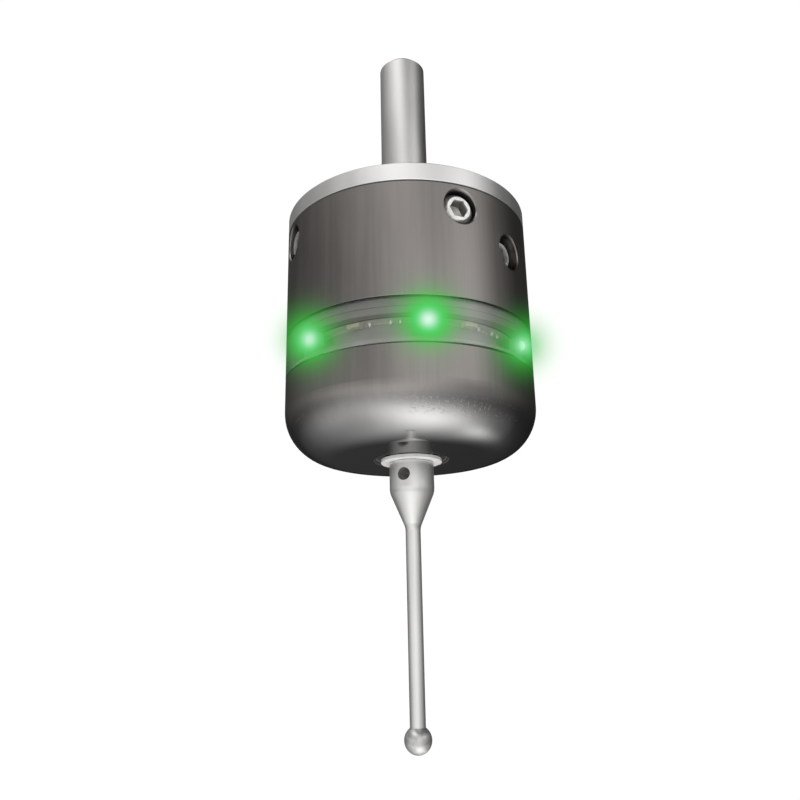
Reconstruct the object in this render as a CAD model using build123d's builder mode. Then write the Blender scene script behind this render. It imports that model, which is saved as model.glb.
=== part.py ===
from build123d import *
from math import cos, radians, sin, sqrt
import os

os.makedirs("parts", exist_ok=True)

# Edge finder held by its shank, in millimetres. The axis is Z, with the shank up and the stylus down,
# and the origin is where the shank stands on the flange. Angles are measured from +X about +Z.

# Shank and flange
shank_dia = 6.0
shank_length = 24.4
shank_chamfer = 0.5
body_dia = 30.0
flange_thickness = 2.25
spigot_length = 4.6
spigot_clearance = 0.3  # radial play of the spigot, taken up by the flange screws

# Housing
upper_height = 13.88
upper_wall = 2.8
band_height = 5.22
band_wall = 0.6
lower_height = 9.45
bottom_round = 5.6
bottom_floor = 1.3
stylus_hole_dia = 8.3
stylus_hole_chamfer = 0.25
edge_break = 0.12  # small chamfer that draws each seam
lip_clearance = 0.1  # between the light ring and the lips that centre it
upper_lip = 0.93
lower_lip = 0.7
ledge_width = 1.6
ledge_thickness = 1.16
lamp_room = 2.8  # between the light ring and the neck
neck_wall = 1.4

# Set screws and their tapped holes
set_screw_dia = 4.0
hex_across = 2.0
hex_depth = 1.4
hex_point = 0.5  # drill point below the hex
screw_edge = 0.55
mouth_dia = 4.5
thread_clearance = 0.02
flange_screw_count = 4
flange_screw_angle = -65.5
flange_screw_drop = 2.7  # from the top of the upper body
flange_screw_recess = 0.5
groove_depth = 1.4
cone_point_dia = 0.1
lock_screw_angle = -37.0
lock_screw_drop = 6.2
lock_screw_recess = 1.0
dog_dia = 2.5
dog_length = 1.2
seat_gap = 0.02  # left where two pieces bear on each other

# Battery and carrier
pocket_wall = 1.95  # leaves a pocket for a cell 20 across
cell_clearance = 0.15
cell_thickness = 1.6
cell_lid_inset = 1.2
cell_lid_rise = 0.3
leaf_inset = 3.0
leaf_width = 4.0
leaf_thickness = 0.2
leaf_rise = 0.4
contact_pad_dia = 6.0
contact_tail_width = 1.4
contact_thickness = 0.2
contact_post_dia = 1.0
contact_post_inset = 1.1  # from the carrier's skirt
contact_post_angle = 60.0
contact_sleeve_dia = 2.6
contact_sleeve_length = 3.6
post_clearance = 0.05
carrier_gap = 0.15  # below the spigot
carrier_clearance = 0.1
carrier_floor = 1.25
carrier_skirt = 1.6
spring_recess_depth = 0.4

# Circuit board
board_thickness = 0.8
board_clearance = 0.2
led_count = 6
led_angle = -81.2
led_width = 2.0
led_height = 1.4
led_depth = 1.0
led_lens_dia = 1.1
led_lens_length = 0.4
led_lens_round = 0.36
led_ring_gap = 0.15
resistor_length = 1.6
resistor_width = 0.85
resistor_height = 0.5
resistor_cap = 0.3
resistor_step = 0.05  # the body is this much lower and narrower than its end caps
resistor_inset = 1.3  # from the board's edge
resistor_shift = 23.5  # degrees past each lamp
chip_length = 2.0
chip_width = 1.25
chip_height = 0.95
chip_inset = 2.7  # from the neck's bore
chip_angle = -6.0
chip_leg_width = 0.25
chip_leg_length = 0.4
chip_leg_height = 0.2

# Assembly screws
clamp_dia = 2.0
clamp_length = 12.0
clamp_head_dia = 3.8
clamp_head_sink = 0.1
clamp_slot_width = 0.4
clamp_slot_depth = 0.4
clamp_inset = 1.8  # from the neck's bore
clamp_hole_play = 0.1
clamp_boss_dia = 3.6
clamp_pillar_dia = 4.0
clamp_thread_spare = 0.5
clamp_angles = (30.0, 150.0, 270.0)

# Tripod and its seats
tripod_angles = (90.0, 210.0, 330.0)
contact_inset = 2.0  # from the neck's bore
contact_ball_dia = 2.4
ball_gap = 0.1
ball_rise = 0.46  # ball centres above the board
ball_seat_clearance = 0.01
contact_gap = 0.03
rod_dia = 1.5
rod_overhang = 1.4
rod_chamfer = 0.2
rod_bite = 2.0
rod_clearance = 0.01
holder_hub_dia = 6.4
holder_hub_thickness = 2.1
holder_shaft_dia = 5.0
holder_chamfer = 0.2

# Return spring, with its diameter inside the coil
wire_dia = 0.45
spring_half_turns = 7
spring_bottom_dia = 4.0
spring_side_gap = 0.05  # to its recess
seat_dia = 5.4
seat_thickness = 0.5
seat_collar_dia = 3.0
seat_collar_height = 0.4
seat_play = 0.3  # lets the tripod rock under the seat

# Stylus
washer_dia = 7.2
washer_thickness = 0.35
washer_inset = 0.07
stud_dia = 3.0
stud_length = 5.0
stud_spare = 0.5
stylus_hub_dia = 5.25
stylus_hub_length = 3.52
stylus_hub_chamfer = 0.15
cross_hole_dia = 1.5
cross_hole_drop = 1.72
cross_hole_angle = -110.9
cone_length = 4.12
cone_round = 2.0  # where the cone meets hub and stem
stem_dia = 1.75
stylus_length = 30.42  # from the top of the hub to the ball's centre
stylus_ball_dia = 3.05
ball_pin_dia = 0.9
ball_pin_length = 1.2

# Radii
body_radius = body_dia / 2
bore_radius = body_radius - upper_wall
spigot_radius = bore_radius - spigot_clearance
band_inner = body_radius - band_wall
lip_radius = band_inner - lip_clearance
ledge_inner = bore_radius - ledge_width
neck_radius = band_inner - lamp_room
neck_bore = neck_radius - neck_wall
carrier_radius = bore_radius - carrier_clearance
skirt_inner = carrier_radius - carrier_skirt
pocket_radius = carrier_radius - pocket_wall
cell_radius = pocket_radius - cell_clearance
lid_radius = cell_radius - cell_lid_inset
contact_post_radius = skirt_inner - contact_post_inset
clamp_circle_radius = neck_bore - clamp_inset
contact_radius = neck_bore - contact_inset
chip_radius = neck_bore - chip_inset
board_radius = band_inner - board_clearance
screw_radius = set_screw_dia / 2 - thread_clearance
ball_radius = contact_ball_dia / 2
rod_radius = rod_dia / 2
board_hole_radius = (holder_shaft_dia / 2 + contact_radius - ball_radius) / 2  # midway, shaft to balls
spring_recess_radius = (seat_dia / 2 + clamp_circle_radius - clamp_boss_dia / 2) / 2  # seat to bosses

# Heights, from the top down
upper_top = -flange_thickness
upper_bottom = upper_top - upper_height
band_bottom = upper_bottom - band_height
bottom = band_bottom - lower_height
spigot_bottom = upper_top - spigot_length
flange_screw_z = upper_top - flange_screw_drop
lock_screw_z = upper_top - lock_screw_drop
cell_top = spigot_bottom - leaf_thickness - leaf_rise - seat_gap
cell_bottom = cell_top - cell_thickness
pocket_floor = cell_bottom - contact_thickness
floor_underside = pocket_floor - carrier_floor
spring_top = floor_underside + spring_recess_depth
board_top = upper_bottom - upper_lip
board_bottom = board_top - board_thickness
ledge_top = board_top + ledge_thickness
ball_z = board_top + ball_rise
ball_offset = ball_radius + ball_gap / 2
rod_z = ball_z + sqrt((rod_radius + ball_radius + contact_gap) ** 2 - ball_offset**2)
holder_top = rod_z + holder_hub_thickness / 2
seat_bottom = holder_top + seat_play
seat_top = seat_bottom + seat_thickness
washer_top = bottom + washer_inset
hub_top = washer_top - washer_thickness
ball_center_z = hub_top - stylus_length


def polar(radius, angle, z=0.0):
    return (radius * cos(radians(angle)), radius * sin(radians(angle)), z)


def facing_out(radius, angle, z):
    """Plane that looks straight out from the axis, with its own X level and its Y up."""
    across = (-sin(radians(angle)), cos(radians(angle)), 0)
    return Plane(origin=polar(radius, angle, z), x_dir=across, z_dir=polar(1, angle))


def on_board(radius, angle):
    """Plane on the board's underside, with its own X along the board's edge."""
    along = (-sin(radians(angle)), cos(radians(angle)), 0)
    return Plane(origin=polar(radius, angle, board_bottom), x_dir=along, z_dir=(0, 0, 1))


def half_section(*corners):
    """Half profile of a turned piece, given as corners of radius and height."""
    with BuildSketch(Plane.XZ) as section:
        with BuildLine():
            Polyline(*corners, close=True)
        make_face()
    return section.sketch


def save(piece, node):
    piece.part.label = node
    export_step(piece.part, f"parts/{node}.step")


flange_screw_angles = [flange_screw_angle + 360 / flange_screw_count * n for n in range(flange_screw_count)]
led_angles = [led_angle + 360 / led_count * n for n in range(led_count)]

# Shank, flange and spigot turned from one bar, with a groove for the cone points of the flange screws
with BuildPart() as shank_flange:
    revolve(
        half_section(
            (0, shank_length),
            (shank_dia / 2 - shank_chamfer, shank_length),
            (shank_dia / 2, shank_length - shank_chamfer),
            (shank_dia / 2, 0),
            (body_radius - edge_break, 0),
            (body_radius, -edge_break),
            (body_radius, upper_top + edge_break),
            (body_radius - edge_break, upper_top),
            (spigot_radius, upper_top),
            (spigot_radius, flange_screw_z + groove_depth),
            (spigot_radius - groove_depth, flange_screw_z),
            (spigot_radius, flange_screw_z - groove_depth),
            (spigot_radius, spigot_bottom),
            (0, spigot_bottom),
        ),
        axis=Axis.Z,
    )
save(shank_flange, "shank_flange")

# Upper body: sleeve with a ledge for the carrier, a lip that centres the light ring, and tapped holes
with BuildPart() as upper_body:
    revolve(
        half_section(
            (bore_radius, upper_top),
            (body_radius - edge_break, upper_top),
            (body_radius, upper_top - edge_break),
            (body_radius, upper_bottom + edge_break),
            (body_radius - edge_break, upper_bottom),
            (lip_radius, upper_bottom),
            (lip_radius, board_top),
            (ledge_inner, board_top),
            (ledge_inner, ledge_top),
            (bore_radius, ledge_top),
        ),
        axis=Axis.Z,
    )
    hole_places = [facing_out(body_radius, angle, flange_screw_z) for angle in flange_screw_angles]
    hole_places.append(facing_out(body_radius, lock_screw_angle, lock_screw_z))
    with Locations(*hole_places):
        CounterSinkHole(set_screw_dia / 2, mouth_dia / 2, depth=2 * upper_wall, counter_sink_angle=90)
save(upper_body, "upper_body")

# Clear ring between the two bodies
with BuildPart() as light_ring:
    revolve(
        half_section(
            (band_inner, upper_bottom),
            (body_radius - edge_break, upper_bottom),
            (body_radius, upper_bottom - edge_break),
            (body_radius, band_bottom + edge_break),
            (body_radius - edge_break, band_bottom),
            (band_inner, band_bottom),
        ),
        axis=Axis.Z,
    )
save(light_ring, "light_ring")

# Lower body: cup with a neck that carries the board, pillars for the assembly screws and a round bottom
with BuildPart() as lower_body:
    revolve(
        half_section(
            (stylus_hole_dia / 2, bottom),
            (body_radius, bottom),
            (body_radius, band_bottom - edge_break),
            (body_radius - edge_break, band_bottom),
            (lip_radius, band_bottom),
            (lip_radius, band_bottom + lower_lip),
            (neck_radius, band_bottom + lower_lip),
            (neck_radius, board_bottom),
            (neck_bore, board_bottom),
            (neck_bore, bottom + bottom_floor),
            (stylus_hole_dia / 2, bottom + bottom_floor),
        ),
        axis=Axis.Z,
    )
    bottom_edges = edges().filter_by(GeomType.CIRCLE).group_by(Axis.Z)[0].sort_by(SortBy.RADIUS)
    fillet(bottom_edges[-1], bottom_round)
    chamfer(bottom_edges[0], stylus_hole_chamfer)
    with BuildSketch(Plane.XY.offset(bottom + bottom_floor)):
        with Locations(*[polar(clamp_circle_radius, angle) for angle in clamp_angles]):
            Circle(clamp_pillar_dia / 2)
    extrude(amount=board_bottom - bottom - bottom_floor)
    clamp_reach = clamp_length - (pocket_floor - clamp_head_sink - board_bottom)
    with Locations(*[polar(clamp_circle_radius, angle, board_bottom) for angle in clamp_angles]):
        Hole(clamp_dia / 2 + thread_clearance, depth=clamp_reach + clamp_thread_spare)
save(lower_body, "lower_body")

# Four cone-point set screws that bear in the spigot's groove
cone_tip = spigot_radius - groove_depth + cone_point_dia / 2 + seat_gap
cone_height = screw_radius - cone_point_dia / 2
screw_face = body_radius - flange_screw_recess
with BuildPart() as flange_screws:
    for angle in flange_screw_angles:
        with BuildSketch(facing_out(screw_face, angle, flange_screw_z)):
            Circle(screw_radius)
        extrude(amount=cone_tip + cone_height - screw_face)
        with Locations(facing_out(cone_tip + cone_height / 2, angle, flange_screw_z)):
            Cone(cone_point_dia / 2, screw_radius, cone_height)
        screw_rim = edges().filter_by(GeomType.CIRCLE).sort_by(Axis(polar(0, 0), polar(1, angle)))[-1]
        chamfer(screw_rim, screw_edge)
        with BuildSketch(facing_out(screw_face, angle, flange_screw_z)):
            RegularPolygon(hex_across / 2, 6, major_radius=False)
        extrude(amount=-hex_depth, mode=Mode.SUBTRACT)
        with Locations(facing_out(screw_face - hex_depth - hex_point / 2, angle, flange_screw_z)):
            Cone(cone_point_dia / 2, hex_across / 2, hex_point, mode=Mode.SUBTRACT)
save(flange_screws, "flange_screws")

# Set screw whose dog point locks the carrier
lock_face = facing_out(body_radius - lock_screw_recess, lock_screw_angle, lock_screw_z)
lock_thread_length = upper_wall - lock_screw_recess - seat_gap
with BuildPart() as lock_screw:
    with BuildSketch(lock_face):
        Circle(screw_radius)
    extrude(amount=-lock_thread_length)
    chamfer(edges().filter_by(GeomType.CIRCLE), screw_edge)
    with BuildSketch(lock_face.offset(-lock_thread_length)):
        Circle(dog_dia / 2)
    extrude(amount=-dog_length)
    with BuildSketch(lock_face):
        RegularPolygon(hex_across / 2, 6, major_radius=False)
    extrude(amount=-hex_depth, mode=Mode.SUBTRACT)
    with Locations(lock_face.offset(-hex_depth - hex_point / 2)):
        Cone(cone_point_dia / 2, hex_across / 2, hex_point, mode=Mode.SUBTRACT)
save(lock_screw, "lock_screw")

# Insulating carrier: battery pocket on top, spring recess below, bosses for the assembly screws
with BuildPart() as carrier:
    revolve(
        half_section(
            (0, pocket_floor),
            (pocket_radius, pocket_floor),
            (pocket_radius, spigot_bottom - carrier_gap),
            (carrier_radius, spigot_bottom - carrier_gap),
            (carrier_radius, ledge_top),
            (skirt_inner, ledge_top),
            (skirt_inner, floor_underside),
            (spring_recess_radius, floor_underside),
            (spring_recess_radius, spring_top),
            (0, spring_top),
        ),
        axis=Axis.Z,
    )
    with BuildSketch(Plane.XY.offset(floor_underside)):
        with Locations(*[polar(clamp_circle_radius, angle) for angle in clamp_angles]):
            Circle(clamp_boss_dia / 2)
    extrude(amount=board_top + seat_gap - floor_underside)
    with BuildSketch(Plane.XY.offset(floor_underside)):
        with Locations(polar(contact_post_radius, contact_post_angle)):
            Circle(contact_sleeve_dia / 2)
    extrude(amount=-contact_sleeve_length)
    with Locations(*[polar(clamp_circle_radius, angle, pocket_floor) for angle in clamp_angles]):
        CounterSinkHole(
            clamp_dia / 2 + clamp_hole_play,
            clamp_head_dia / 2 + clamp_hole_play,
            depth=pocket_floor - board_top,
            counter_sink_angle=90,
        )
    with Locations(polar(contact_post_radius, contact_post_angle, pocket_floor)):
        Hole(contact_post_dia / 2 + post_clearance, depth=pocket_floor - ledge_top)
    with Locations(facing_out(carrier_radius, lock_screw_angle, lock_screw_z)):
        Hole(dog_dia / 2 + post_clearance, depth=dog_length)
save(carrier, "carrier")

# Sealed coin cell, lid down
with BuildPart() as coin_cell:
    revolve(
        half_section(
            (0, cell_top),
            (cell_radius, cell_top),
            (cell_radius, cell_bottom + cell_lid_rise),
            (lid_radius, cell_bottom + cell_lid_rise),
            (lid_radius, cell_bottom),
            (0, cell_bottom),
        ),
        axis=Axis.Z,
    )
    chamfer(edges().filter_by(GeomType.CIRCLE).group_by(Axis.Z)[-1], edge_break)
save(coin_cell, "coin_cell")

# Bowed leaf that presses the cell down from the spigot
with BuildPart() as battery_spring:
    leaf_base = cell_top + seat_gap / 2
    leaf_reach = cell_radius - leaf_inset
    with BuildSketch(Plane.XZ):
        with BuildLine():
            lower_arc = ThreePointArc(
                (-leaf_reach, leaf_base), (0, leaf_base + leaf_rise), (leaf_reach, leaf_base)
            )
            offset(lower_arc, leaf_thickness, side=Side.LEFT, closed=True)
        make_face()
    extrude(amount=leaf_width / 2, both=True)
save(battery_spring, "battery_spring")

# Strip under the cell, with a post that runs down to the board
with BuildPart() as battery_contact:
    with BuildSketch(Plane.XY.offset(pocket_floor)):
        with Locations(Location(polar(contact_post_radius / 2, contact_post_angle), contact_post_angle)):
            SlotCenterToCenter(contact_post_radius, contact_tail_width)
        with Locations((0, 0)):
            Circle(contact_pad_dia / 2)
    extrude(amount=contact_thickness)
    with BuildSketch(Plane.XY.offset(pocket_floor)):
        with Locations(polar(contact_post_radius, contact_post_angle)):
            Circle(contact_post_dia / 2)
    extrude(amount=board_top - pocket_floor)
save(battery_contact, "battery_contact")

# Board between the ledge and the neck, with seats for the contact balls
ball_places = [
    Location(polar(contact_radius, angle), angle) * Location((0, side * ball_offset))
    for angle in tripod_angles
    for side in (-1, 1)
]
with BuildPart() as circuit_board:
    with BuildSketch(Plane.XY.offset(board_bottom)):
        Circle(board_radius)
        Circle(board_hole_radius, mode=Mode.SUBTRACT)
        with Locations(*[polar(clamp_circle_radius, angle) for angle in clamp_angles]):
            Circle(clamp_dia / 2 + clamp_hole_play, mode=Mode.SUBTRACT)
        with Locations(*ball_places):
            Circle(sqrt(ball_radius**2 - ball_rise**2) + ball_seat_clearance, mode=Mode.SUBTRACT)
    extrude(amount=board_thickness)
save(circuit_board, "circuit_board")

# Lamps at the board's edge, each with a small lens that faces out through the ring
led_face = band_inner - led_ring_gap - led_lens_length
for number, angle in enumerate(led_angles, start=1):
    led_front = facing_out(led_face, angle, board_bottom - led_height / 2)
    with BuildPart() as led:
        with BuildSketch(led_front):
            Rectangle(led_width, led_height)
        extrude(amount=-led_depth)
        with BuildSketch(led_front):
            Circle(led_lens_dia / 2)
        extrude(amount=led_lens_length)
        lens_rim = edges().filter_by(GeomType.CIRCLE).sort_by(Axis((0, 0, 0), polar(1, angle)))[-1]
        fillet(lens_rim, led_lens_round)
    save(led, f"led_{number}")

# A chip resistor between each two lamps, with its two end caps
resistor_radius = board_radius - resistor_inset - resistor_width / 2
for number, angle in enumerate(led_angles, start=1):
    pad = on_board(resistor_radius, angle + resistor_shift)
    with BuildPart() as resistor:
        with BuildSketch(pad):
            Rectangle(resistor_length, resistor_width - 2 * resistor_step)
        extrude(amount=resistor_step - resistor_height)
        cap_shift = (resistor_length - resistor_cap) / 2
        with BuildSketch(pad):
            with Locations((-cap_shift, 0), (cap_shift, 0)):
                Rectangle(resistor_cap, resistor_width)
        extrude(amount=-resistor_height)
    save(resistor, f"chip_resistor_{number}")

# Driver chip under the board, on six legs
chip_place = on_board(chip_radius, chip_angle)
with BuildPart() as driver_chip:
    with BuildSketch(chip_place):
        Rectangle(chip_length, chip_width)
    extrude(amount=-chip_height)
    chamfer(faces().sort_by(Axis.Z)[0].edges(), edge_break)
    with BuildSketch(chip_place):
        with GridLocations(chip_length / 3, chip_width + chip_leg_length, 3, 2):
            Rectangle(chip_leg_width, chip_leg_length)
    extrude(amount=-chip_leg_height)
save(driver_chip, "driver_chip")

# Ball pairs that the tripod rests on
for number, place in enumerate(ball_places, start=1):
    with BuildPart() as contact_ball:
        with Locations(Location((0, 0, ball_z)) * place):
            Sphere(ball_radius)
    save(contact_ball, f"contact_ball_{number}")

# Countersunk screws that clamp carrier, ledge and board to the neck
clamp_top = pocket_floor - clamp_head_sink
with BuildPart() as assembly_screws:
    for angle in clamp_angles:
        with BuildSketch(Plane.XY.offset(clamp_top).move(Location(polar(clamp_circle_radius, angle)))):
            Circle(clamp_dia / 2)
        extrude(amount=-clamp_length)
        head_height = (clamp_head_dia - clamp_dia) / 2
        with Locations(polar(clamp_circle_radius, angle, clamp_top - head_height / 2)):
            Cone(clamp_dia / 2, clamp_head_dia / 2, head_height)
        with BuildSketch(Plane.XY.offset(clamp_top).move(Location(polar(clamp_circle_radius, angle)))):
            Rectangle(clamp_head_dia, clamp_slot_width)
        extrude(amount=-clamp_slot_depth, mode=Mode.SUBTRACT)
save(assembly_screws, "assembly_screws")

# Conical return spring between the carrier's recess and the spring seat, wound from half turns
coil_bottom = seat_top + wire_dia / 2 + seat_gap
coil_height = spring_top - wire_dia / 2 - seat_gap - coil_bottom
coil_bottom_radius = (spring_bottom_dia + wire_dia) / 2
coil_top_radius = spring_recess_radius - spring_side_gap - wire_dia / 2


def coil_point(count):
    """Where the wire's middle is after so many half turns."""
    share = count / spring_half_turns
    radius = coil_bottom_radius + (coil_top_radius - coil_bottom_radius) * share
    return Vector(radius if count % 2 == 0 else -radius, 0, coil_bottom + coil_height * share)


with BuildPart() as return_spring:
    with BuildLine() as coil:
        for count in range(spring_half_turns):
            start, end = coil_point(count), coil_point(count + 1)
            bulge = (end - start).length / 2
            middle = (start + end) / 2 + Vector(0, bulge if count % 2 == 0 else -bulge, 0)
            ThreePointArc(start, middle, end)
    with BuildSketch(Plane(coil.line @ 0, z_dir=coil.line % 0)):
        Circle(wire_dia / 2)
    sweep()
save(return_spring, "return_spring")

# Brass cup under the spring
with BuildPart() as spring_seat:
    revolve(
        half_section(
            (0, seat_bottom),
            (seat_dia / 2, seat_bottom),
            (seat_dia / 2, seat_top),
            (seat_collar_dia / 2, seat_top),
            (seat_collar_dia / 2, seat_top + seat_collar_height),
            (0, seat_top + seat_collar_height),
        ),
        axis=Axis.Z,
    )
save(spring_seat, "spring_seat")

# Holder: hub drilled for the three rods, and a shaft tapped for the stylus
rod_start = holder_hub_dia / 2 - rod_bite
rod_length = contact_radius + rod_overhang - rod_start
with BuildPart() as stylus_holder:
    revolve(
        half_section(
            (0, holder_top),
            (holder_hub_dia / 2 - holder_chamfer, holder_top),
            (holder_hub_dia / 2, holder_top - holder_chamfer),
            (holder_hub_dia / 2, holder_top - holder_hub_thickness),
            (holder_shaft_dia / 2, holder_top - holder_hub_thickness),
            (holder_shaft_dia / 2, washer_top),
            (0, washer_top),
        ),
        axis=Axis.Z,
    )
    with Locations(*[facing_out(holder_hub_dia / 2, angle, rod_z) for angle in tripod_angles]):
        Hole(rod_radius + rod_clearance, depth=rod_bite + rod_clearance)
    with Locations(Location((0, 0, washer_top), (180, 0, 0))):
        Hole(stud_dia / 2 + thread_clearance, depth=stud_length - washer_thickness + stud_spare)
save(stylus_holder, "stylus_holder")

# Rods pressed into the holder
for number, angle in enumerate(tripod_angles, start=1):
    with BuildPart() as tripod_rod:
        with BuildSketch(facing_out(rod_start, angle, rod_z)):
            Circle(rod_radius)
        extrude(amount=rod_length)
        rod_tip = edges().filter_by(GeomType.CIRCLE).sort_by(Axis((0, 0, 0), polar(1, angle)))[-1]
        chamfer(rod_tip, rod_chamfer)
    save(tripod_rod, f"tripod_rod_{number}")

# White washer between holder and stylus
with BuildPart() as dust_washer:
    with BuildSketch(Plane.XY.offset(hub_top)):
        Circle(washer_dia / 2)
        Circle(stud_dia / 2 + thread_clearance, mode=Mode.SUBTRACT)
    extrude(amount=washer_thickness)
save(dust_washer, "dust_washer")

# Stylus: threaded stud, hub with a cross hole for a tightening pin, cone, stem and the pin for the ball
stem_radius = stem_dia / 2
stem_bottom = ball_center_z + sqrt((stylus_ball_dia / 2) ** 2 - stem_radius**2)
hub_radius = stylus_hub_dia / 2
hub_bottom = hub_top - stylus_hub_length
with BuildPart() as stylus_stem:
    revolve(
        half_section(
            (0, hub_top + stud_length),
            (stud_dia / 2, hub_top + stud_length),
            (stud_dia / 2, hub_top),
            (hub_radius - stylus_hub_chamfer, hub_top),
            (hub_radius, hub_top - stylus_hub_chamfer),
            (hub_radius, hub_bottom),
            (stem_radius, hub_bottom - cone_length),
            (stem_radius, stem_bottom),
            (ball_pin_dia / 2, stem_bottom),
            (ball_pin_dia / 2, stem_bottom - ball_pin_length),
            (0, stem_bottom - ball_pin_length),
        ),
        axis=Axis.Z,
    )
    creases = edges().filter_by(GeomType.CIRCLE)
    fillet(creases.filter_by_position(Axis.Z, hub_bottom - cone_length, hub_bottom), cone_round)
    with Locations(facing_out(hub_radius, cross_hole_angle, hub_top - cross_hole_drop)):
        Hole(cross_hole_dia / 2, depth=2 * stylus_hub_dia)
save(stylus_stem, "stylus_stem")

# Ball with a small flat and a bore for the stem's pin
with BuildPart() as stylus_ball:
    with Locations((0, 0, ball_center_z)):
        Sphere(stylus_ball_dia / 2)
    split(bisect_by=Plane.XY.offset(stem_bottom), keep=Keep.BOTTOM)
    with Locations((0, 0, stem_bottom)):
        Hole(ball_pin_dia / 2 + rod_clearance, depth=ball_pin_length + rod_clearance)
save(stylus_ball, "stylus_ball")
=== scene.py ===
import math
import bpy
from mathutils import Matrix, Vector


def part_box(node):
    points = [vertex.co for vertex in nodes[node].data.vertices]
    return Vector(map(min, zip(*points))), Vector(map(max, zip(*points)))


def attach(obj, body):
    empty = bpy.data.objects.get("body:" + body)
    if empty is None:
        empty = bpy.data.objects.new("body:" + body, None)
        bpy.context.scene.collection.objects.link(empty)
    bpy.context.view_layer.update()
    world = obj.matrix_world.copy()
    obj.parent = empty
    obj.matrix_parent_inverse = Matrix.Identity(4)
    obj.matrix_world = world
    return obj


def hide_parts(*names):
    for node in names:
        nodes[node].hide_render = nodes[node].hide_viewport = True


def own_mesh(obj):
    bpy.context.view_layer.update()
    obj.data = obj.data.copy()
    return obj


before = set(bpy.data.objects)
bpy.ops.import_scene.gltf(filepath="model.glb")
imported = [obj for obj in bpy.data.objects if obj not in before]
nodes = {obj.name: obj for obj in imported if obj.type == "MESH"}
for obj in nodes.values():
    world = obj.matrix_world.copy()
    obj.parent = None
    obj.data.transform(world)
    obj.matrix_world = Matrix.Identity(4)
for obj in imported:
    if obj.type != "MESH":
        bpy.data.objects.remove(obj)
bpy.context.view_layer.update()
scene = bpy.context.scene
mm = 0.001
print("frame loaded,", len(nodes), "CAD nodes")


class Wire:  # one output socket, so that shader maths reads as maths
    def __init__(self, tree, socket):
        self.tree, self.socket = tree, socket

    def math(self, operation, *values):
        made = self.tree.nodes.new("ShaderNodeMath")
        made.operation = operation
        for place, value in enumerate(values):
            plug(self.tree, made.inputs[place], value)
        return Wire(self.tree, made.outputs[0])

    def __add__(self, other): return self.math("ADD", self, other)
    def __radd__(self, other): return self.math("ADD", other, self)
    def __sub__(self, other): return self.math("SUBTRACT", self, other)
    def __rsub__(self, other): return self.math("SUBTRACT", other, self)
    def __mul__(self, other): return self.math("MULTIPLY", self, other)
    def __rmul__(self, other): return self.math("MULTIPLY", other, self)
    def __truediv__(self, other): return self.math("DIVIDE", self, other)
    def __rtruediv__(self, other): return self.math("DIVIDE", other, self)
    def __pow__(self, other): return self.math("POWER", self, other)
    def __mod__(self, other): return self.math("FLOORED_MODULO", self, other)
    def __abs__(self): return self.math("ABSOLUTE", self)
    def root(self): return self.math("SQRT", self)
    def sine(self): return self.math("SINE", self)
    def cosine(self): return self.math("COSINE", self)
    def angle(self, other): return self.math("ARCTAN2", self, other)
    def most(self, other): return self.math("MAXIMUM", self, other)
    def fade(self): return self.math("EXPONENT", self * -1.0)
    def bell(self, width): return ((self / width) ** 2).fade()  # 1 at zero, fading out

    def rise(self, low, high):  # smooth step from 0 at low to 1 at high
        made = self.tree.nodes.new("ShaderNodeMapRange")
        made.interpolation_type = "SMOOTHSTEP"
        flip = low > high
        for place, value in enumerate((self, min(low, high), max(low, high), float(flip), float(not flip))):
            plug(self.tree, made.inputs[place], value)
        return Wire(self.tree, made.outputs[0])


def plug(tree, socket, value):
    if isinstance(value, Wire):
        tree.links.new(value.socket, socket)
    elif socket.type == "RGBA" and len(value) == 3:
        socket.default_value = (*value, 1.0)
    else:
        socket.default_value = value


class Wiring:  # a node tree, and the one way to add a node to it
    def __init__(self, tree):
        self.tree = tree

    def node(self, kind, settings=None, sockets=None, out=0):
        made = self.tree.nodes.new(kind)
        for name, value in (settings or {}).items():
            setattr(made, name, value)
        for name, value in (sockets or {}).items():
            plug(self.tree, made.inputs[name], value)
        if out is None:
            return made
        if isinstance(out, tuple):
            return [Wire(self.tree, made.outputs[name]) for name in out]
        return Wire(self.tree, made.outputs[out])

    def spot(self):  # object coordinates in metres
        return self.node("ShaderNodeTexCoord", out="Object")

    def place(self, spot):  # height and radius in millimetres, and the angle about the axis
        parts = self.node("ShaderNodeSeparateXYZ", None, {0: spot}, (0, 1, 2))
        x, y, z = (part * (1 / mm) for part in parts)
        return z, (x * x + y * y).root(), y.angle(x)

    def stretch(self, spot, by):
        return self.node("ShaderNodeVectorMath", {"operation": "MULTIPLY"}, {0: spot, 1: by})

    def noise(self, spot, scale, detail=2.0, rough=0.5):
        return self.node("ShaderNodeTexNoise", None, {
            "Vector": spot, "Scale": scale, "Detail": detail, "Roughness": rough})

    def lines(self, along, scale, detail):  # noise along one length
        return self.node("ShaderNodeTexNoise", {"noise_dimensions": "1D"}, {
            "W": along, "Scale": scale, "Detail": detail})

    def blend(self, factor, one, two):
        return self.node("ShaderNodeMix", {"data_type": "RGBA"}, {0: factor, 6: one, 7: two}, 2)

    def bump(self, height, strength, depth):
        return self.node("ShaderNodeBump", None, {"Height": height, "Strength": strength, "Distance": depth})

    def joined(self, x=0.0, y=0.0, z=0.0):
        return self.node("ShaderNodeCombineXYZ", None, {0: x, 1: y, 2: z})


def finish(name, paint, **fixed):
    made = bpy.data.materials.new(name)
    made.use_nodes = True
    made.node_tree.nodes.clear()
    wiring = Wiring(made.node_tree)
    sockets = {label.replace("_", " "): value for label, value in fixed.items()}
    sockets.update(paint(wiring))
    shader = wiring.node("ShaderNodeBsdfPrincipled", None, sockets)
    wiring.node("ShaderNodeOutputMaterial", None, {"Surface": shader}, None)
    return made


def dress(material, *names):
    for name in names:
        nodes[name].material_slots[0].material = material


def numbered(name, count):
    return [f"{name}_{n + 1}" for n in range(count)]


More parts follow.
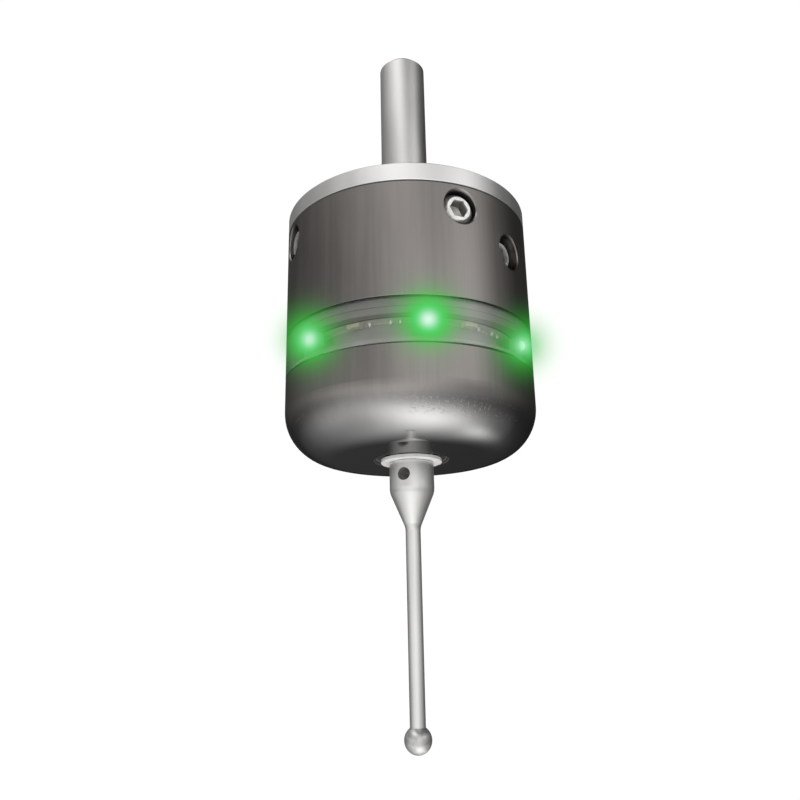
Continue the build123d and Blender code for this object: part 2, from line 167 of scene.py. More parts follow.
# lamps on the board: six round the axis, the first a little right of the front
lamps = {"count": 6, "firstAngle": -81.2, "height": -18.56, "colour": (0.03, 1.0, 0.12), "core": (0.55, 1.0, 0.8)}


def lampDistance(z, radius, turn):  # millimetres along the surface to the nearest lamp
    step = math.tau / lamps["count"]
    away = (turn - math.radians(lamps["firstAngle"]) + step / 2) % step - step / 2
    across = away * radius
    up = z - lamps["height"]
    return (across * across + up * up).root()


# thin shadow lines where the pieces meet; a pair of numbers is where a look starts and where it is full
seams = {"heights": (-2.25, -16.13, -21.35), "width": 0.12, "core": 0.6, "outside": (14.5, 14.6), "depth": 0.9}


def seamShade(z, radius):  # 1 in a seam, 0 away from it
    lines = [abs(z - height).rise(seams["width"], seams["width"] * seams["core"]) for height in seams["heights"]]
    return lines[0].most(lines[1]).most(lines[2]) * radius.rise(*seams["outside"]) * seams["depth"]


# turned bright steel of the shank and flange, the flange rim painted lighter than the shank as painted light
brightSteel = {
    "colour": (0.68, 0.678, 0.672), "shade": (0.61, 0.608, 0.603), "metal": 0.92, "roughness": 0.34,
    "flange": (0.84, 0.838, 0.83), "flangeFrom": (6.0, 7.0), "flangeMetal": 0.95,
    "ringPitch": 0.09, "ringDepth": 0.006,
}
turning = {
    "perRadius": 0.25, "perHeight": 1.013, "smearStretch": (1.0, 1.0, 0.25), "smearScale": 420.0,
    "fineStretch": (1.0, 1.0, 6.0), "fineScale": 2600.0, "lineTone": 0.25, "toneRange": (0.3, 0.7),
    "flangeTone": 0.1, "lineBump": 0.75, "bump": 0.35, "roughSpread": 0.12, "seam": (0.02, 0.02, 0.02),
}


def paintTurned(values):
    def paint(w):
        spot = w.spot()
        z, radius, _ = w.place(spot)
        along = radius * turning["perRadius"] + z * turning["perHeight"]  # runs along every turned face
        lines = w.lines(along, 1 / values["ringPitch"], 3.0)
        smear = w.noise(w.stretch(spot, turning["smearStretch"]), turning["smearScale"], 3.0)
        fine = w.noise(w.stretch(spot, turning["fineStretch"]), turning["fineScale"])
        tone = (lines * turning["lineTone"] + smear * (1 - turning["lineTone"])).rise(*turning["toneRange"])
        skin = w.blend(tone, values["shade"], values["colour"])
        metal = {}
        if "flange" in values:
            # painted light: a lighter copy of the steel on the flange rim
            out = radius.rise(*values["flangeFrom"])
            skin = w.blend(out * (1 - turning["flangeTone"] + tone * turning["flangeTone"]), skin, values["flange"])
            metal = {"Metallic": values["metal"] + out * (values["flangeMetal"] - values["metal"])}
        height = lines * turning["lineBump"] + fine * (1 - turning["lineBump"])
        return metal | {
            "Base Color": w.blend(seamShade(z, radius), skin, turning["seam"]),
            "Roughness": values["roughness"] + (smear - 0.5) * turning["roughSpread"],
            "Normal": w.bump(height, turning["bump"], values["ringDepth"] * mm),
        }
    return paint


dress(finish("turnedBrightSteel", paintTurned(brightSteel)), "shank_flange")

# stylus, and the holder inside that carries it: finer turned
satin = {"roughness": 0.34, "ringPitch": 0.06, "ringDepth": 0.004}
holderSteel = satin | {"colour": (0.56, 0.56, 0.555), "shade": (0.50, 0.50, 0.495)}
stemSteel = satin | {"colour": (0.78, 0.78, 0.77), "shade": (0.70, 0.70, 0.69)}
dress(finish("satinHolderSteel", paintTurned(holderSteel), Metallic=0.86), "stylus_holder")
dress(finish("satinStemSteel", paintTurned(stemSteel), Metallic=0.86), "stylus_stem")

# dark anodised bodies: streaked along the axis on the walls, smoother and speckled towards the bottom, and painted
# lighter and cooler there as painted light
anodised = {
    "colour": (0.285, 0.267, 0.256), "dark": (0.243, 0.227, 0.219), "bottom": (0.343, 0.344, 0.345),
    "holeWallPaint": (0.38, 0.375, 0.37), "holeMouthDark": (0.045, 0.044, 0.043), "bore": (0.09, 0.086, 0.083),
    "neckPaintedLight": (0.58, 0.57, 0.55), "lip": (0.34, 0.335, 0.325), "seam": (0.008, 0.008, 0.008),
    "edgeTint": (0.56, 0.56, 0.56), "bottomTone": 0.9, "streakTone": 0.55, "toneRange": (0.3, 0.68),
    "wallRoughness": 0.335, "bottomRoughness": 0.13, "streakRoughness": 0.08, "cloudRoughness": 0.06,
    "streakDepth": 0.00063, "grainDepth": 0.00036, "speckDepth": 0.012,
    "streakStretch": (1.0, 1.0, 0.035), "streakScale": 1500.0, "streakSharp": 0.62,
    "cloudStretch": (1.0, 1.0, 0.5), "cloudScale": 150.0, "grainScale": 9000.0,
    "nickScale": 3400.0, "nickSharp": 0.6, "nickRange": (0.55, 0.68), "patchScale": 260.0, "patchRange": (0.44, 0.56),
}
zones = {
    "bottom": (-25.0, -29.6), "wall": (-24.9, -23.9), "speckUnder": (-26.6, -27.3), "speckOver": (-29.3, -28.3),
    "hole": (4.5, 4.3), "holeDeep": (-30.62, -30.5), "screwHole": (14.93, 14.8), "screwHoleOver": (-15.9, -15.6),
    "ringInside": (14.36, 14.34), "ringOver": (-21.4, -21.3), "ringUnder": (-16.05, -16.15), "lipOver": (-18.0, -17.9),
}


def paintAnodised(w):
    spot = w.spot()
    z, radius, _ = w.place(spot)
    streak = w.noise(w.stretch(spot, anodised["streakStretch"]), anodised["streakScale"], 4.0, anodised["streakSharp"])
    cloud = w.noise(w.stretch(spot, anodised["cloudStretch"]), anodised["cloudScale"], 3.0)
    grain = w.noise(spot, anodised["grainScale"])
    nicks = w.noise(spot, anodised["nickScale"], 3.0, anodised["nickSharp"]).rise(*anodised["nickRange"])
    patch = w.noise(spot, anodised["patchScale"]).rise(*anodised["patchRange"])
    low = z.rise(*zones["bottom"])
    speck = nicks * z.rise(*zones["speckUnder"]) * z.rise(*zones["speckOver"]) * patch
    tone = (streak * anodised["streakTone"] + cloud * (1 - anodised["streakTone"])).rise(*anodised["toneRange"])
    height = streak * anodised["streakDepth"] * (1 - low)
    height = height + grain * anodised["grainDepth"] + speck * anodised["speckDepth"]
    holeWallPaint = radius.rise(*zones["hole"])  # wall of the stylus hole, painted dull: painted light deep inside where shade falls, and dark at the mouth as painted reflection of the dark bottom
    holeWallPaintTone = w.blend(z.rise(*zones["holeDeep"]), anodised["holeMouthDark"], anodised["holeWallPaint"])
    bore = radius.rise(*zones["screwHole"]) * z.rise(*zones["screwHoleOver"])  # painted shade on the walls of the screw holes
    # painted light: the surfaces behind the clear ring are lightened where shade falls
    behind = radius.rise(*zones["ringInside"]) * z.rise(*zones["ringOver"]) * z.rise(*zones["ringUnder"])
    behindPaintedLight = w.blend(z.rise(*zones["lipOver"]), anodised["neckPaintedLight"], anodised["lip"])  # neck, and lip over it: painted pale and dull, painted light in the shade behind the ring
    skin = w.blend(tone, anodised["dark"], anodised["colour"])
    # painted light: the bottom gets a lighter, cooler copy of the anodise
    skin = w.blend(low * anodised["bottomTone"], skin, anodised["bottom"])
    skin = w.blend(holeWallPaint, skin, holeWallPaintTone)
    skin = w.blend(bore, skin, anodised["bore"])
    skin = w.blend(behind, skin, behindPaintedLight)
    uneven = (streak - 0.5) * anodised["streakRoughness"] + (cloud - 0.5) * anodised["cloudRoughness"]
    smoother = (anodised["bottomRoughness"] - anodised["wallRoughness"]) * low
    return {
        "Base Color": w.blend(seamShade(z, radius), skin, anodised["seam"]),
        "Metallic": (1 - holeWallPaint) * (1 - behind),
        "Roughness": anodised["wallRoughness"] + smoother + uneven * z.rise(*zones["wall"]),
        "Normal": w.bump(height, 1.0, mm),
    }


dress(finish("streakedAnodise", paintAnodised, Specular_Tint=anodised["edgeTint"]), "upper_body", "lower_body")

# clear ring: polished outside, faint turning lines, and green lamp light painted into it as an emission glow round
# each lamp
clearRing = {
    "tint": (0.98, 0.985, 0.98), "haze": (0.93, 0.94, 0.93), "hazeScale": 700.0, "hazeRange": (0.35, 0.7),
    "roughness": 0.04, "dull": 0.07, "dullRange": (0.45, 0.8), "lineScale": 9.0, "bump": 0.12, "lineDepth": 0.004,
    "glowReach": 1.3, "glow": 0.30, "seam": (0.01, 0.01, 0.01),
}


def paintClear(w):
    spot = w.spot()
    z, radius, turn = w.place(spot)
    lines = w.lines(z, clearRing["lineScale"], 3.0)
    haze = w.noise(spot, clearRing["hazeScale"], 3.0)
    # painted light: green glow round each lamp, given as emission
    lampGlowPaint = lampDistance(z, radius, turn).bell(clearRing["glowReach"])
    skin = w.blend(haze.rise(*clearRing["hazeRange"]), clearRing["tint"], clearRing["haze"])
    return {
        "Base Color": w.blend(seamShade(z, radius), skin, clearRing["seam"]),
        "Roughness": clearRing["roughness"] + haze.rise(*clearRing["dullRange"]) * clearRing["dull"],
        "Emission Color": w.blend(lampGlowPaint * clearRing["glow"], (0, 0, 0), lamps["colour"]),
        "Normal": w.bump(lines, clearRing["bump"], clearRing["lineDepth"] * mm),
    }


dress(finish("clearPlastic", paintClear, Transmission_Weight=1.0, IOR=1.49, Emission_Strength=1.0), "light_ring")

# zinc-plated screws, with painted shade in their sockets
zincPlate = {
    "colour": (0.93, 0.93, 0.91), "shade": (0.66, 0.66, 0.64), "socket": (0.40, 0.40, 0.385), "socketFrom": (0.1, 0.4),
    "cloudScale": 1800.0, "cloudRange": (0.34, 0.62), "grainScale": 7000.0, "bump": 0.25, "grainDepth": 0.004,
    "roughness": 0.36, "roughSpread": 0.2, "flangeFace": 14.5, "lockFace": 14.0, "noFace": 0.0,
}


def paintZinc(face):  # face: how far the screw's end is from the axis, in millimetres
    def paint(w):
        spot = w.spot()
        radius = w.place(spot)[1]
        cloud = w.noise(spot, zincPlate["cloudScale"], 4.0)
        grain = w.noise(spot, zincPlate["grainScale"])
        skin = w.blend(cloud.rise(*zincPlate["cloudRange"]), zincPlate["shade"], zincPlate["colour"])
        # painted shade: darker deeper in than the screw's face, in the hex socket
        socketShadeMask = radius.rise(*(face - depth for depth in zincPlate["socketFrom"]))
        return {
            "Base Color": w.blend(socketShadeMask, skin, zincPlate["socket"]),
            "Roughness": zincPlate["roughness"] + (cloud - 0.5) * zincPlate["roughSpread"],
            "Normal": w.bump(grain, zincPlate["bump"], zincPlate["grainDepth"] * mm),
        }
    return paint


dress(finish("zincFlangeScrew", paintZinc(zincPlate["flangeFace"]), Metallic=0.85), "flange_screws")
dress(finish("zincLockScrew", paintZinc(zincPlate["lockFace"]), Metallic=0.7), "lock_screw")
dress(finish("zincAssemblyScrew", paintZinc(zincPlate["noFace"]), Metallic=0.85), "assembly_screws")

# polished balls and rods
polished = {
    "colour": (0.58, 0.58, 0.575), "shade": (0.48, 0.48, 0.475), "cloudScale": 1300.0, "cloudRange": (0.36, 0.6),
    "roughness": 0.32, "dull": 0.16, "dullRange": (0.45, 0.75),
    "scuffStretch": (1.0, 3.0, 0.6), "scuffScale": 3800.0, "bump": 0.15, "scuffDepth": 0.003,
}


def paintPolished(w):
    spot = w.spot()
    cloud = w.noise(spot, polished["cloudScale"], 4.0)
    scuff = w.noise(w.stretch(spot, polished["scuffStretch"]), polished["scuffScale"], 3.0)
    return {
        "Base Color": w.blend(cloud.rise(*polished["cloudRange"]), polished["shade"], polished["colour"]),
        "Roughness": polished["roughness"] + cloud.rise(*polished["dullRange"]) * polished["dull"],
        "Normal": w.bump(scuff, polished["bump"], polished["scuffDepth"] * mm),
    }


polishedBall = finish("polishedBallSteel", paintPolished, Metallic=0.75)
dress(polishedBall, "stylus_ball", *numbered("contact_ball", 6), *numbered("tripod_rod", 3))

# white dust washer
washer = {
    "colour": (0.87, 0.868, 0.86), "shade": (0.78, 0.775, 0.765), "cloudScale": 900.0, "cloudRange": (0.35, 0.6),
    "roughness": 0.45, "roughSpread": 0.2, "ringScale": 9.0, "bump": 0.2, "ringDepth": 0.01,
}


def paintWasher(w):
    spot = w.spot()
    cloud = w.noise(spot, washer["cloudScale"], 4.0)
    rings = w.lines(w.place(spot)[1], washer["ringScale"], 2.0)
    return {
        "Base Color": w.blend(cloud.rise(*washer["cloudRange"]), washer["shade"], washer["colour"]),
        "Roughness": washer["roughness"] + (cloud - 0.5) * washer["roughSpread"],
        "Normal": w.bump(rings, washer["bump"], washer["ringDepth"] * mm),
    }


dress(finish("whiteWasher", paintWasher, IOR=1.35), "dust_washer")

# board: pale solder mask with tracks just under it, a grey rim and a dark line inside the rim
board = {
    "mask": (0.80, 0.785, 0.74), "track": (0.86, 0.84, 0.78), "trackTone": 0.75,
    "edge": (0.34, 0.33, 0.31), "edgeFrom": (13.15, 13.25),
    "line": (0.12, 0.10, 0.075), "lineAt": 13.05, "lineEdge": (0.2, 0.1),
    "outerTrack": 12.1, "outerEdge": (0.26, 0.2), "innerTrack": 9.9, "innerEdge": (0.5, 0.44),
    "spokes": 18, "spokeEdge": (0.035, 0.02), "spokeFrom": (9.9, 10.0),
    "roughness": 0.42, "roughSpread": 0.25, "fleckScale": 5200.0,
    "trackBump": 0.7, "fleckBump": 0.1, "bump": 0.35, "depth": 0.03,
}


def paintBoard(w):
    spot = w.spot()
    _, radius, turn = w.place(spot)
    fleck = w.noise(spot, board["fleckScale"], 3.0)
    outer = abs(radius - board["outerTrack"]).rise(*board["outerEdge"])
    inner = abs(radius - board["innerTrack"]).rise(*board["innerEdge"])
    spoke = abs((turn * board["spokes"] / math.tau) % 1.0 - 0.5).rise(*board["spokeEdge"])
    track = (outer + inner).most(spoke * radius.rise(*board["spokeFrom"]))
    rimTone = radius.rise(*board["edgeFrom"])
    rimLine = abs(radius - board["lineAt"]).rise(*board["lineEdge"])
    face = w.blend(rimTone, w.blend(track * board["trackTone"], board["mask"], board["track"]), board["edge"])
    height = track * board["trackBump"] + fleck * board["fleckBump"]
    return {
        "Base Color": w.blend(rimLine, face, board["line"]),
        "Roughness": board["roughness"] + (fleck - 0.5) * board["roughSpread"],
        "Normal": w.bump(height, board["bump"], board["depth"] * mm),
    }


dress(finish("paleBoard", paintBoard), "circuit_board")

# lamp bodies: pale package, with the lens lit in the middle
lampBody = {
    "package": (0.78, 0.76, 0.66), "lens": (0.75, 0.86, 0.78), "lensFrom": (13.84, 13.9), "lensEdge": (0.62, 0.5),
    "coreReach": 0.36, "haloReach": 0.55, "haloTone": 0.6, "strength": 9.0,
    "roughness": 0.34, "roughSpread": 0.2, "lensGloss": 0.2, "grainScale": 4200.0,
}


def paintLamp(w):
    spot = w.spot()
    z, radius, turn = w.place(spot)
    away = lampDistance(z, radius, turn)
    lens = radius.rise(*lampBody["lensFrom"]) * away.rise(*lampBody["lensEdge"])
    core = away.bell(lampBody["coreReach"]) * lens
    glow = away.bell(lampBody["haloReach"]) * lens
    grain = w.noise(spot, lampBody["grainScale"])
    light = w.blend(glow * lampBody["haloTone"], (0, 0, 0), lamps["colour"])
    rough = lampBody["roughness"] + (grain - 0.5) * lampBody["roughSpread"]
    return {
        "Base Color": w.blend(lens, lampBody["package"], lampBody["lens"]),
        "Roughness": rough - lens * lampBody["lensGloss"],
        "Emission Color": w.blend(core, light, lamps["core"]),
    }


dress(finish("greenLamp", paintLamp, Emission_Strength=lampBody["strength"]), *numbered("led", lamps["count"]))

# chip resistors: pale ceramic
ceramic = {
    "shade": (0.86, 0.81, 0.65), "colour": (0.95, 0.92, 0.78), "fleckScale": 6000.0, "fleckRange": (0.3, 0.7),
    "roughness": 0.40, "roughSpread": 0.2, "bump": 0.2, "fleckDepth": 0.006,
}


def paintResistor(w):
    fleck = w.noise(w.spot(), ceramic["fleckScale"], 3.0)
    return {
        "Base Color": w.blend(fleck.rise(*ceramic["fleckRange"]), ceramic["shade"], ceramic["colour"]),
        "Roughness": ceramic["roughness"] + (fleck - 0.5) * ceramic["roughSpread"],
        "Normal": w.bump(fleck, ceramic["bump"], ceramic["fleckDepth"] * mm),
    }


dress(finish("paleCeramic", paintResistor), *numbered("chip_resistor", 6))

# plain grained finishes, each from a darker to a lighter tone, for the inside and the small trim
grained = {"cloudRange": (0.34, 0.64), "roughSpread": 0.18, "finer": 5, "bump": 0.3}


def paintGrained(dark, light, rough, scale, depth):
    def paint(w):
        spot = w.spot()
        cloud = w.noise(spot, scale, 4.0)
        grain = w.noise(spot, scale * grained["finer"])
        return {
            "Base Color": w.blend(cloud.rise(*grained["cloudRange"]), dark, light),
            "Roughness": rough + (cloud - 0.5) * grained["roughSpread"],
            "Normal": w.bump(grain, grained["bump"], depth * mm),
        }
    return paint


inside = {
    "carrier": ((0.014, 0.014, 0.015), (0.03, 0.03, 0.031), 0.5, 1500.0, 0.02),
    "chip": ((0.011, 0.011, 0.012), (0.024, 0.024, 0.025), 0.55, 3500.0, 0.01),
    "cell": ((0.60, 0.60, 0.59), (0.74, 0.74, 0.72), 0.24, 700.0, 0.004),
    "brass": ((0.62, 0.42, 0.16), (0.80, 0.58, 0.25), 0.30, 1200.0, 0.004),
    "wire": ((0.44, 0.43, 0.41), (0.62, 0.61, 0.59), 0.28, 2500.0, 0.004),
}
dress(finish("blackCarrier", paintGrained(*inside["carrier"])), "carrier")
dress(finish("blackChip", paintGrained(*inside["chip"])), "driver_chip")
dress(finish("cellCan", paintGrained(*inside["cell"]), Metallic=1.0), "coin_cell")
dress(finish("contactBrass", paintGrained(*inside["brass"]), Metallic=1.0), "battery_contact", "spring_seat")
springWire = finish("springWire", paintGrained(*inside["wire"]), Metallic=1.0)
dress(springWire, "return_spring", "battery_spring")
print("finishes made,", len(bpy.data.materials), "materials")


# geometry node trees: named inputs, one plain mesh out
def newTree(name, inputs):
    tree = bpy.data.node_groups.new(name, "GeometryNodeTree")
    tree.interface.new_socket("Geometry", in_out="OUTPUT", socket_type="NodeSocketGeometry")
    keys = {}
    for label, kind in inputs.items():
        keys[label] = tree.interface.new_socket(label, in_out="INPUT", socket_type="NodeSocket" + kind).identifier
    wiring = Wiring(tree)
    given = wiring.node("NodeGroupInput", None, None, tuple(inputs))
    return wiring, keys, dict(zip(inputs, given))


def closeTree(w, shape, material):
    real = w.node("GeometryNodeRealizeInstances", None, {0: shape})
    smooth = w.node("GeometryNodeSetShadeSmooth", None, {0: real})
    done = w.node("GeometryNodeSetMaterial", None, {"Geometry": smooth, "Material": material})
    w.node("NodeGroupOutput", None, {0: done}, None)


def sweep(w, path, facets, radius, height, caps=False):  # a round section along a path, lifted to a height
    section = w.node("GeometryNodeCurvePrimitiveCircle", None, {"Resolution": facets, "Radius": radius})
    swept = w.node("GeometryNodeCurveToMesh", None, {"Curve": path, "Profile Curve": section, "Fill Caps": caps})
    return w.node("GeometryNodeTransform", None, {"Geometry": swept, "Translation": w.joined(z=height)})


def growPiece(name, tree, keys, values):
    piece = bpy.data.objects.new(name, bpy.data.meshes.new(name))
    scene.collection.objects.link(piece)
    grower = piece.modifiers.new("grow", "NODES")
    grower.node_group = tree
    for label, value in values.items():
        grower[keys[label]] = value
    made = bpy.data.meshes.new_from_object(piece.evaluated_get(bpy.context.evaluated_depsgraph_get()))
    piece.modifiers.clear()
    piece.data = made
    made.name = name
    return piece


# solder dots under the board, three in each sixth of the ring
solder = {
    "sectors": 6, "radius": 12.05, "height": -17.86, "first": -50.0, "second": -38.8, "third": -33.8,
    "size": 0.26, "rise": 0.50, "segments": 16, "rings": 8,
    "finish": ((0.88, 0.88, 0.86), (0.95, 0.95, 0.93), 0.2, 2500.0, 0.006),
}
solderFinish = finish("tinSolder", paintGrained(*solder["finish"]), Metallic=0.4)


def solderTree():
    w, keys, given = newTree("solderDots", {
        "Sectors": "Int", "Radius": "Float", "Height": "Float", "First": "Float", "Second": "Float", "Third": "Float",
        "Size": "Float", "Rise": "Float", "Material": "Material"})
    dot = w.node("GeometryNodeMeshUVSphere", None, {
        "Segments": solder["segments"], "Rings": solder["rings"], "Radius": 1.0})
    scale = w.joined(given["Size"], given["Size"], given["Rise"])
    trio = w.node("GeometryNodeJoinGeometry", None, None, None)
    for label in ("First", "Second", "Third"):
        at = w.joined(given["Radius"] * given[label].cosine(), given["Radius"] * given[label].sine(), given["Height"])
        spot = w.node("GeometryNodeTransform", None, {"Geometry": dot, "Translation": at, "Scale": scale})
        w.tree.links.new(spot.socket, trio.inputs[0])
    stack = w.node("GeometryNodeMeshLine", None, {"Count": given["Sectors"], "Offset": (0.0, 0.0, 0.0)})
    step = w.node("GeometryNodeInputIndex") * math.tau / given["Sectors"]
    ring = w.node("GeometryNodeInstanceOnPoints", None, {
        "Points": stack, "Instance": Wire(w.tree, trio.outputs[0]), "Rotation": w.joined(z=step)})
    closeTree(w, ring, given["Material"])
    return w.tree, keys


tree, keys = solderTree()
solderDots = growPiece("solderDots", tree, keys, {
    "Sectors": solder["sectors"], "Radius": solder["radius"] * mm, "Height": solder["height"] * mm,
    "First": math.radians(solder["first"]), "Second": math.radians(solder["second"]),
    "Third": math.radians(solder["third"]),
    "Size": solder["size"] * mm, "Rise": solder["rise"] * mm, "Material": solderFinish})
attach(solderDots, "housing")
print("solder dots grown,", len(solderDots.data.polygons), "faces")

# bead of sealant where the board sits on the neck
bead = {
    "radius": 11.62, "height": -17.9, "thickness": 0.13, "around": 192, "facets": 10,
    "finish": ((0.74, 0.725, 0.68), (0.82, 0.805, 0.76), 0.4, 2200.0, 0.006),
}
beadFinish = finish("paleSealant", paintGrained(*bead["finish"]))


def beadTree():
    w, keys, given = newTree("boardBead", {
        "Radius": "Float", "Height": "Float", "Thickness": "Float", "Around": "Int", "Facets": "Int",
        "Material": "Material"})
    path = w.node("GeometryNodeCurvePrimitiveCircle", None, {
        "Resolution": given["Around"], "Radius": given["Radius"]})
    closeTree(w, sweep(w, path, given["Facets"], given["Thickness"], given["Height"]), given["Material"])
    return w.tree, keys


tree, keys = beadTree()
boardBead = growPiece("boardBead", tree, keys, {
    "Radius": bead["radius"] * mm, "Height": bead["height"] * mm, "Thickness": bead["thickness"] * mm,
    "Around": bead["around"], "Facets": bead["facets"], "Material": beadFinish})
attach(boardBead, "housing")
print("bead laid,", len(boardBead.data.polygons), "faces")

# return spring: a conical coil, a little short so that the tilted seat clears it
coil = {
    "wire": 0.45, "turns": 3.5, "bottomRadius": 2.225, "clearance": 0.36, "lift": 2.0, "perTurn": 48, "facets": 12,
}
coilLow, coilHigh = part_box("return_spring")


def coilTree():
    w, keys, given = newTree("returnCoil", {
        "Wire": "Float", "Turns": "Float", "Bottom Radius": "Float", "Top Radius": "Float", "Bottom": "Float",
        "Rise": "Float", "Per Turn": "Int", "Facets": "Int", "Material": "Material"})
    path = w.node("GeometryNodeCurveSpiral", None, {
        "Resolution": given["Per Turn"], "Rotations": given["Turns"], "Start Radius": given["Bottom Radius"],
        "End Radius": given["Top Radius"], "Height": given["Rise"]})
    placed = sweep(w, path, given["Facets"], given["Wire"] * 0.5, given["Bottom"], True)
    closeTree(w, placed, given["Material"])
    return w.tree, keys


coilBottom = coilLow[2] + coil["clearance"] * mm
coilHeight = coilHigh[2] - coilBottom
tree, keys = coilTree()
returnCoil = growPiece("returnCoil", tree, keys, {
    "Wire": coil["wire"] * mm, "Turns": coil["turns"], "Bottom Radius": coil["bottomRadius"] * mm,
    "Top Radius": -coilLow[0] - coil["wire"] / 2 * mm, "Bottom": coilBottom + coil["wire"] / 2 * mm,
    "Rise": coilHeight - coil["wire"] * mm, "Per Turn": coil["perTurn"], "Facets": coil["facets"],
    "Material": springWire})
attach(returnCoil, "spring")
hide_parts("return_spring")
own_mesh(returnCoil)
print("return spring wound,", len(returnCoil.data.polygons), "faces")

# studio: white to the camera, and soft boxes that the metal mirrors, by side and rise in degrees
studio = {"fill": 0.03, "seen": 1.03, "warmth": (1.0, 0.997, 0.985), "boxes": {
    "frontStrip": {"level": 0.74, "side": -53, "rise": 5, "turn": -11, "wide": 88, "tall": 10.5},
    "frontPanel": {"level": 1.10, "side": 14, "rise": 11, "turn": -66, "wide": 23, "tall": 45},
    "frontLeft": {"level": 0.14, "side": -32, "rise": 15, "turn": 0, "wide": 28, "tall": 8},
    "rightWindow": {"level": 1.55, "side": 59, "rise": 24, "turn": -1, "wide": 19, "tall": 10},
    "rightLow": {"level": 0.31, "side": 60, "rise": -4, "turn": 16, "wide": 53, "tall": 12},
    "leftTop": {"level": 2.0, "side": -32, "rise": 47, "turn": -14, "wide": 34, "tall": 9},
    "leftHigh": {"level": 2.0, "side": -78, "rise": 64, "turn": -5, "wide": 30, "tall": 15},
    "leftLow": {"level": 0.64, "side": -84, "rise": -35, "turn": 24, "wide": 43, "tall": 28},
    "table": {"level": 1.47, "side": 71, "rise": -77, "turn": 52, "wide": 28, "tall": 41},
    "tableFront": {"level": 1.61, "side": -6, "rise": -58, "turn": -40, "wide": 44, "tall": 28},
    "backLow": {"level": 1.05, "side": 140, "rise": -49, "turn": 33, "wide": 18, "tall": 8},
}}


def softBox(w, toward, box):  # glow of one box in a direction
    side, rise, turn, wide, tall = (math.radians(box[key]) for key in ("side", "rise", "turn", "wide", "tall"))
    middle = Vector((math.sin(side) * math.cos(rise), -math.cos(side) * math.cos(rise), math.sin(rise)))
    level = Vector((math.cos(side), math.sin(side), 0.0))
    upright = middle.cross(level)
    across = level * math.cos(turn) + upright * math.sin(turn)
    along = upright * math.cos(turn) - level * math.sin(turn)

    def dot(axis):
        return w.node("ShaderNodeVectorMath", {"operation": "DOT_PRODUCT"}, {0: toward, 1: axis}, "Value")
    away = (dot(across) / math.sin(wide)) ** 2 + (dot(along) / math.sin(tall)) ** 2
    return dot(middle).most(0.0).root() * away.fade() * box["level"]


def lightWorld():
    world = bpy.data.worlds.new("studio")
    scene.world = world
    world.use_nodes = True
    world.node_tree.nodes.clear()
    w = Wiring(world.node_tree)
    toward = w.node("ShaderNodeTexCoord", out="Generated")
    level = sum((softBox(w, toward, box) for box in studio["boxes"].values()), studio["fill"])
    shade = w.node("ShaderNodeCombineColor", None, {n: level * part for n, part in enumerate(studio["warmth"])})
    seen = w.node("ShaderNodeLightPath", out="Is Camera Ray")
    colour = w.blend(seen, shade, [studio["seen"]] * 3)
    glow = w.node("ShaderNodeBackground", None, {"Color": colour, "Strength": 1.0})
    w.node("ShaderNodeOutputWorld", None, {"Surface": glow}, None)


lightWorld()

# pale floor, well below the stylus and out of the photograph's frame
floor = {
    "drop": -0.30, "radius": 0.9, "sides": 96, "colour": (0.93, 0.93, 0.92), "shade": (0.90, 0.90, 0.895),
    "cloudScale": 6.0, "roughness": 0.9, "roughSpread": 0.1, "glow": 0.55,
}
floorMesh = bpy.data.meshes.new("floor")
corners = [math.tau * n / floor["sides"] for n in range(floor["sides"])]
rim = [(floor["radius"] * math.cos(turn), floor["radius"] * math.sin(turn), floor["drop"]) for turn in corners]
floorMesh.from_pydata(rim, [], [list(range(floor["sides"]))])
floorPiece = bpy.data.objects.new("floor", floorMesh)
scene.collection.objects.link(floorPiece)


def paintFloor(w):
    cloud = w.noise(w.spot(), floor["cloudScale"], 3.0)
    return {
        "Base Color": w.blend(cloud, floor["colour"], floor["shade"]),
        "Roughness": floor["roughness"] + (cloud - 0.5) * floor["roughSpread"],
    }


floorFinish = finish("paleFloor", paintFloor, Emission_Color=(1.0, 1.0, 1.0, 1.0), Emission_Strength=floor["glow"])
floorMesh.materials.append(floorFinish)
for ray in ("visible_glossy", "visible_diffuse", "visible_transmission", "visible_shadow"):
    setattr(floorPiece, ray, False)  # only the camera sees the floor, and the soft boxes alone light the part
print("studio lit, floor laid")

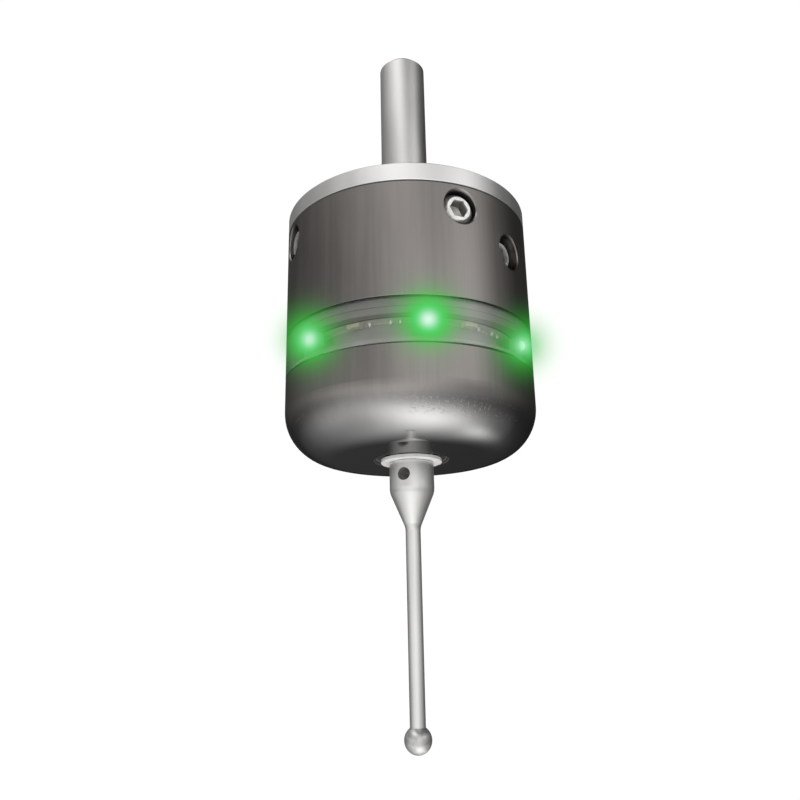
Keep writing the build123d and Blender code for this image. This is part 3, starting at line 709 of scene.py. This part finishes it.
# camera at the photograph's angle
view = {
    "place": (0.0, -0.0916032, -0.0504859), "right": (0.99962122, 0.01903407, -0.01987774),
    "up": (0.0244765, -0.28464726, 0.9583198), "ahead": (-0.01258259, 0.95844334, 0.28500533),
    "lens": 35.388, "sensor": 36.0, "nearest": 0.002,
}
camera = bpy.data.objects.new("camera", bpy.data.cameras.new("camera"))
scene.collection.objects.link(camera)
camera.data.lens, camera.data.sensor_width, camera.data.clip_start = view["lens"], view["sensor"], view["nearest"]
turnTo = Matrix((view["right"], view["up"], [-part for part in view["ahead"]])).transposed()
camera.matrix_world = Matrix.Translation(view["place"]) @ turnTo.to_4x4()
scene.camera = camera
scene.view_settings.view_transform = "Standard"
scene.view_settings.look = "None"

# lamp halos: the bright lens light is spread and laid over the picture
halo = {
    "threshold": 0.5, "grow": 10.0, "growGain": 20.0,
    "outer": {"size": 50.0, "gain": 5.2, "colour": (0.045, 0.58, 0.048)},
    "inner": {"size": 18.0, "gain": 0.6, "colour": (0.22, 0.83, 0.43)},
    "middle": {"size": 12.0, "gain": 1.25, "colour": (0.78, 1.0, 0.88)},
}
scene.use_nodes = True
scene.node_tree.nodes.clear()
w = Wiring(scene.node_tree)
picture = w.node("CompositorNodeRLayers", out="Image")
red, green = w.node("CompositorNodeSeparateColor", None, {0: picture}, (0, 1))


def pixelMath(operation, one, two, clamp=False):
    return w.node("CompositorNodeMath", {"operation": operation, "use_clamp": clamp}, {0: one, 1: two})


def spread(spot, by, gain):
    blurred = w.node("CompositorNodeBlur", {"filter_type": "GAUSS"}, {0: spot, "Size": (by, by)})
    return pixelMath("MULTIPLY", blurred, gain, True)


core = pixelMath("SUBTRACT", pixelMath("SUBTRACT", green, red), halo["threshold"], True)
grown = spread(core, halo["grow"], halo["growGain"])
lit = picture
for layer, source in (("outer", grown), ("inner", grown), ("middle", core)):
    glow = spread(source, halo[layer]["size"], halo[layer]["gain"])
    lit = w.node("CompositorNodeMixRGB", None, {0: glow, 1: lit, 2: halo[layer]["colour"]})
w.node("CompositorNodeComposite", None, {0: lit}, None)
print("camera and halos set")
